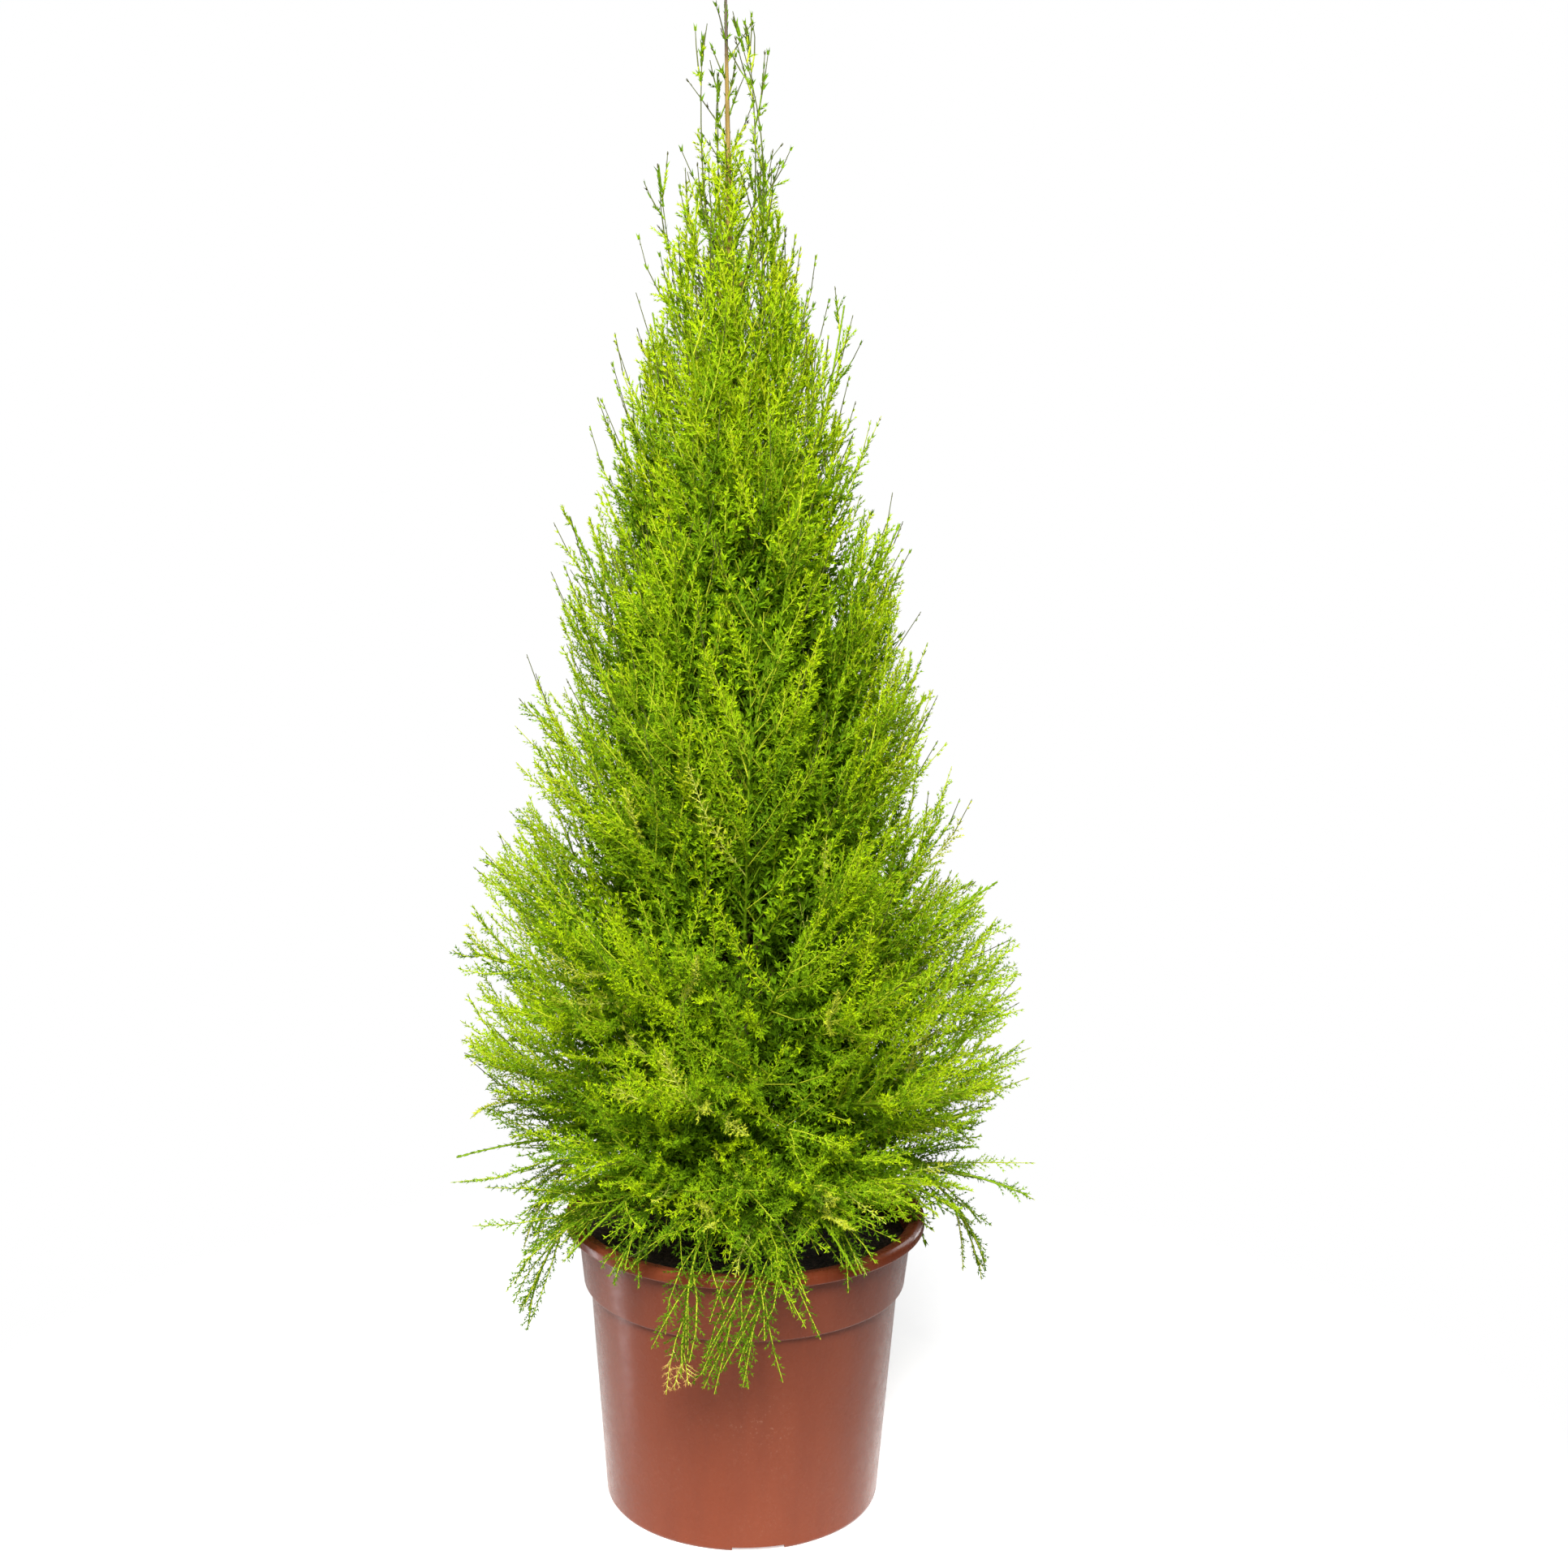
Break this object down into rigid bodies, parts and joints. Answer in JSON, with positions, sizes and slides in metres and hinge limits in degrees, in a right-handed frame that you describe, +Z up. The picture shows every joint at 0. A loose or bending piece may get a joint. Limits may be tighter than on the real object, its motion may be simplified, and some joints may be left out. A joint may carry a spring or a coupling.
{
  "type": "potted cypress",
  "caption": "Golden cypress of feathery plumes round one slim trunk, narrowing to a pointed top, in a round tapering plastic nursery pot that it stands on.",
  "frame": {"origin": "centre of the pot's flat underside, on the surface that it stands on", "axes": "+Z up along the pot's axis and the trunk, -Y towards the viewer of the picture, +X to the picture's right"},
  "size_m": [0.3764, 0.3817, 0.965],
  "materials": {
    "pot_plastic": "satin, dusty",
    "soil": "rough, crumbly",
    "bark": "rough, finely fissured",
    "foliage": "soft, matte needles"
  },
  "bodies": {
    "root": {"pot": "pot_plastic", "potting_soil": "soil", "trunk": "bark", "bough_low_1": "bark", "bough_low_2": "bark", "bough_low_3": "bark", "bough_low_4": "bark", "bough_low_5": "bark", "bough_low_6": "bark", "bough_lower_1": "bark", "bough_lower_2": "bark", "bough_lower_3": "bark", "bough_lower_4": "bark", "bough_lower_5": "bark", "bough_lower_6": "bark", "plume_skirt_1": "foliage", "plume_skirt_2": "foliage", "plume_skirt_3": "foliage", "plume_skirt_4": "foliage", "plume_skirt_5": "foliage", "plume_skirt_6": "foliage", "plume_low_1": "foliage", "plume_low_2": "foliage", "plume_low_3": "foliage", "plume_low_4": "foliage", "plume_low_5": "foliage", "plume_low_6": "foliage", "plume_lower_1": "foliage", "plume_lower_2": "foliage", "plume_lower_3": "foliage", "plume_lower_4": "foliage", "plume_lower_5": "foliage", "plume_lower_6": "foliage", "plume_middle_1": "foliage", "plume_middle_2": "foliage", "plume_middle_3": "foliage", "plume_middle_4": "foliage", "plume_middle_5": "foliage", "plume_middle_6": "foliage", "plume_upper_1": "foliage", "plume_upper_2": "foliage", "plume_upper_3": "foliage", "plume_upper_4": "foliage", "plume_upper_5": "foliage", "plume_high_1": "foliage", "plume_high_2": "foliage", "plume_high_3": "foliage", "plume_high_4": "foliage", "plume_higher_1": "foliage", "plume_higher_2": "foliage", "plume_higher_3": "foliage", "plume_top_1": "foliage", "plume_top_2": "foliage", "plume_leader_1": "foliage", "plume_leader_2": "foliage"}
  },
  "joints": []
}
